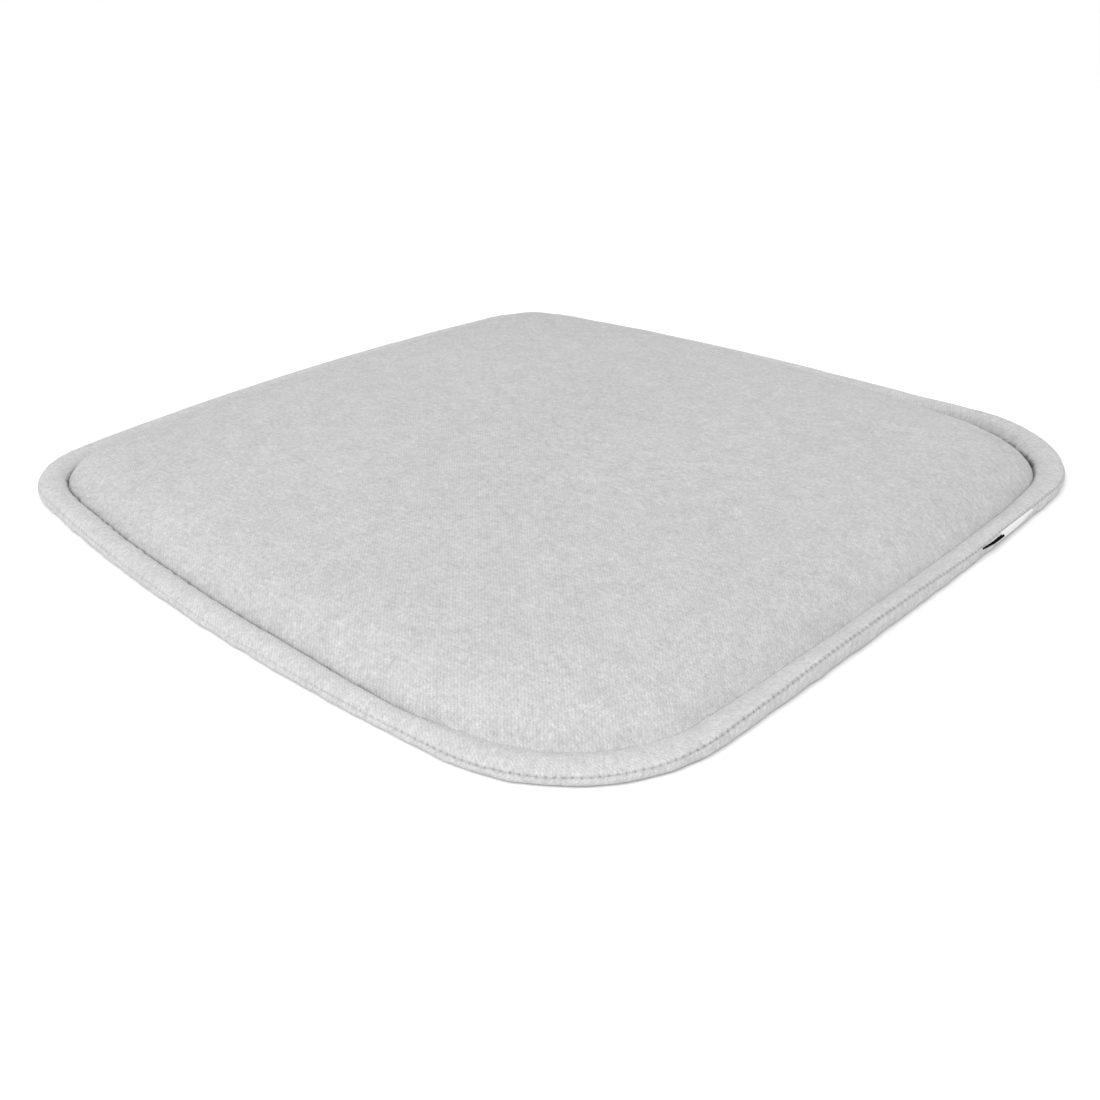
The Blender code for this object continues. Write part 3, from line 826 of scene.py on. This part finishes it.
def tube(path, radius, sides):
    """Points and faces of a round bar along a path, with flat ends."""
    tangents = np.gradient(path, axis=0)
    tangents /= np.linalg.norm(tangents, axis=1, keepdims=True)
    up = np.array([0.0, 0.0, 1.0])
    across = np.cross(tangents, up)
    across /= np.maximum(np.linalg.norm(across, axis=1, keepdims=True), 1e-9)
    over = np.cross(across, tangents)
    angles = np.linspace(0, 2 * math.pi, sides, endpoint=False)
    radius = np.broadcast_to(radius, len(path))
    rings = [p + r * (np.cos(angles)[:, None] * a + np.sin(angles)[:, None] * o)
             for p, r, a, o in zip(path, radius, across, over)]
    faces = []
    for i in range(len(path) - 1):
        for j in range(sides):
            there = (j + 1) % sides
            faces.append((i * sides + j, i * sides + there, (i + 1) * sides + there, (i + 1) * sides + j))
    faces.append(list(reversed(range(sides))))
    faces.append([(len(path) - 1) * sides + j for j in range(sides)])
    return np.concatenate(rings), faces


def joined(name, bodies):
    """One object of many bodies, each (points, faces)."""
    points, faces, first = [], [], 0
    for body_points, body_faces in bodies:
        points.append(body_points)
        faces += [[first + index for index in face] for face in body_faces]
        first += len(body_points)
    return mesh_object(name, np.concatenate(points), faces)


def seam_thread():
    """Lockstitches sunk into the outer seam."""
    bodies = []
    pitch = SEAM_LENGTH / STITCHES
    part = np.linspace(0.22, 0.78, 6)
    arch = np.sin(np.linspace(0.25, math.pi - 0.25, 6)) ** 0.5
    for index in range(STITCHES):
        along = (index + part) * pitch
        path = place(along, 0.62 * MM - 0.30 * MM * arch, seam_height(along))
        bodies.append(tube(path, 0.19 * MM * arch, 6))
    piece = joined("outer_seam_thread", bodies)
    piece.data.materials.append(thread("grey_thread", 0.30))
    return piece


def label(name, ends, line, reach, sag, thickness, material):
    """A short ribbon held in the outer seam. line is its section, as (inset, drop below the seam).

    reach and sag give, for both ends and the middle, how much of the section comes out of the seam and how
    far the whole of it hangs below the seam.
    """
    stations = 24
    part = np.linspace(0, 1, stations)
    along = np.linspace(*ends, stations)
    line = np.array(line) * MM
    steps = np.linspace(0, len(line) - 1, 22)
    inset, drop = [np.interp(steps, range(len(line)), line[:, i]) for i in (0, 1)]
    for _ in range(3):
        inset[1:-1] = (inset[:-2] + 2 * inset[1:-1] + inset[2:]) / 4
        drop[1:-1] = (drop[:-2] + 2 * drop[1:-1] + drop[2:]) / 4
    out, low = [np.interp(part, (0, 0.5, 1), values)[:, None] for values in (reach, sag)]
    top = seam_height(along)[:, None] - low * MM
    tucked = inset[0]
    points = place(along[:, None], tucked + (inset - tucked) * (0.45 + 0.55 * out), top - drop * out)
    piece = thicken(strip(name, along, points, False), thickness)
    piece.data.flip_normals()
    edge = piece.modifiers.new("edge", "BEVEL")
    edge.width = thickness * 0.3
    edge.segments = 2
    piece.data.materials.append(material)
    return piece


def labels():
    """Both are blank."""
    black = ribbon("black_ribbon", 0.0008, 0.003, 0.35 * MM, 0.9, 0.04)
    white = ribbon("white_satin", 0.66, 0.75, 0.30 * MM, 0.5, 0.25)
    folded = [(0.5, 0.0), (-0.7, 0.05), (-1.5, 0.35), (-1.8, 1.2)]
    hanging = [(0.5, 0.0), (-0.4, 0.05), (-0.9, 0.5), (-1.1, 1.5), (-1.0, 3.3)]
    reach, sag = (0.2, 0.65, 0.75), (0.35, 0.8, 1.15)
    brand = label("brand_label_ribbon", BRAND_LABEL, folded, reach, sag, 0.45 * MM, black)
    reach, sag = (1.0, 0.95, 0.5), (0.0, 0.0, 0.0)
    care = label("care_label_ribbon", CARE_LABEL, hanging, reach, sag, 0.2 * MM, white)
    return brand, care


def zip_coils():
    """The two interlocked nylon coils, each a flattened helix along its tape's edge."""
    pitch = 1.25 * MM
    half = ZIP_HALF_LENGTH - 2.6 * MM
    turns = int(2 * half / pitch)
    steps = np.linspace(0, turns * 2 * math.pi, turns * 10)
    pieces = []
    for side, node in ((1, "zip_teeth_upper"), (-1, "zip_teeth_lower")):
        along = REAR_SIDE - half + steps / (2 * math.pi) * pitch + (pitch / 2 if side < 0 else 0.0)
        inset = 0.8 * MM - 0.45 * MM * np.cos(steps)
        height = ZIP_HEIGHT + side * (0.55 * MM + 0.62 * MM * np.sin(steps))
        points, faces = tube(place(along, inset, height), 0.20 * MM, 6)
        piece = mesh_object(node.replace("zip_teeth", "zip_coil"), points, faces)
        piece.data.materials.append(nylon(piece.name + "_nylon"))
        pieces.append((piece, node))
    return pieces


# ------------------------------------------------------------------ stage


def area_light(name, place_at, target, size, power):
    data = bpy.data.lights.new(name, "AREA")
    data.shape = "DISK"
    data.size = size
    data.energy = power
    lamp = bpy.data.objects.new(name, data)
    lamp.location = place_at
    lamp.rotation_euler = (Vector(target) - Vector(place_at)).to_track_quat("-Z", "Y").to_euler()
    bpy.context.scene.collection.objects.link(lamp)
    return lamp


def studio():
    world = bpy.data.worlds.new("studio")
    world.use_nodes = True
    background = world.node_tree.nodes["Background"]
    background.inputs["Color"].default_value = (1.0, 1.0, 1.0, 1.0)
    background.inputs["Strength"].default_value = WORLD_STRENGTH
    bpy.context.scene.world = world
    bpy.context.scene.view_settings.view_transform = "Standard"
    area_light("key", KEY_PLACE, KEY_TARGET, KEY_SIZE, KEY_POWER)

    corners = [(x * FLOOR_HALF, y * FLOOR_HALF, 0) for x, y in ((-1, -1), (1, -1), (1, 1), (-1, 1))]
    floor = mesh_object("floor", corners, [(0, 1, 2, 3)])
    shader = Shader("floor")
    where = shader.node("ShaderNodeTexCoord").outputs["Object"]
    mottle = shader.noise(where, 3.0, 2.0)
    floor.data.materials.append(shader.finish(shader.mix(mottle, grey(0.93), grey(0.95)), 0.9))
    floor.location.z = -FLOOR_DROP


def camera():
    """A slight telephoto looking down over the front left corner."""
    back = Vector((
        math.sin(CAMERA_AZIMUTH) * math.cos(CAMERA_ELEVATION),
        -math.cos(CAMERA_AZIMUTH) * math.cos(CAMERA_ELEVATION),
        math.sin(CAMERA_ELEVATION),
    ))
    data = bpy.data.cameras.new("camera")
    data.sensor_width = 36.0
    data.lens = CAMERA_LENS
    data.shift_x, data.shift_y = CAMERA_SHIFT
    data.clip_start, data.clip_end = 0.01, 50.0
    made = bpy.data.objects.new("camera", data)
    made.location = Vector((0, (FRONT_BOW - REAR_BOW) / 2, 0)) + back * CAMERA_DISTANCE
    made.rotation_mode = "QUATERNION"
    made.rotation_quaternion = (-back).to_track_quat("-Z", "Y")
    bpy.context.scene.collection.objects.link(made)
    bpy.context.scene.camera = made


# ------------------------------------------------------------------ assembly


def dress(node, material):
    """Gives a CAD node that stays a better material."""
    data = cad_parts[node].data
    data.materials.clear()
    data.materials.append(material)


def cover():
    panel, band = domed_panel(), rolled_band()
    strips = lower_band()
    base, grip = underside()
    brand, care = labels()
    rows = (
        (panel, "cover_fabric", ["top_panel"], 0.85),
        (band, "cover_fabric", ["border_band"], 0.8),
        (strips[0], "cover_fabric", ["lower_band"], 0.8),
        (strips[1], "cover_fabric", [], 0.8),
        (base, "grip_fabric", ["underside_panel"], 0.8),
        (grip, "grip_fabric", [], None),
        (seam_thread(), "cover_fabric", [], None),
        (brand, "label_black", ["brand_label"], None),
        (care, "label_white", ["care_label"], None),
    )
    for piece, slot, nodes, fill in rows:
        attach(piece, "cushion")
        if nodes:
            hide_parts(*nodes)


def zip_parts():
    for piece, node in zip_coils():
        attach(piece, "cushion")
        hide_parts(node)
    metal = satin_metal("satin_nickel")
    for node in ("zip_slider", "zip_pull", "zip_stop_closed_end", "zip_stop_open_end"):
        dress(node, metal)
    for node in ("zip_tape_upper", "zip_tape_lower"):
        dress(node, tape(node + "_weave"))


def filling():
    for piece, slot, node in fillings():
        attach(piece, "cushion")
        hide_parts(node)


camera()
studio()
cover()
zip_parts()
filling()
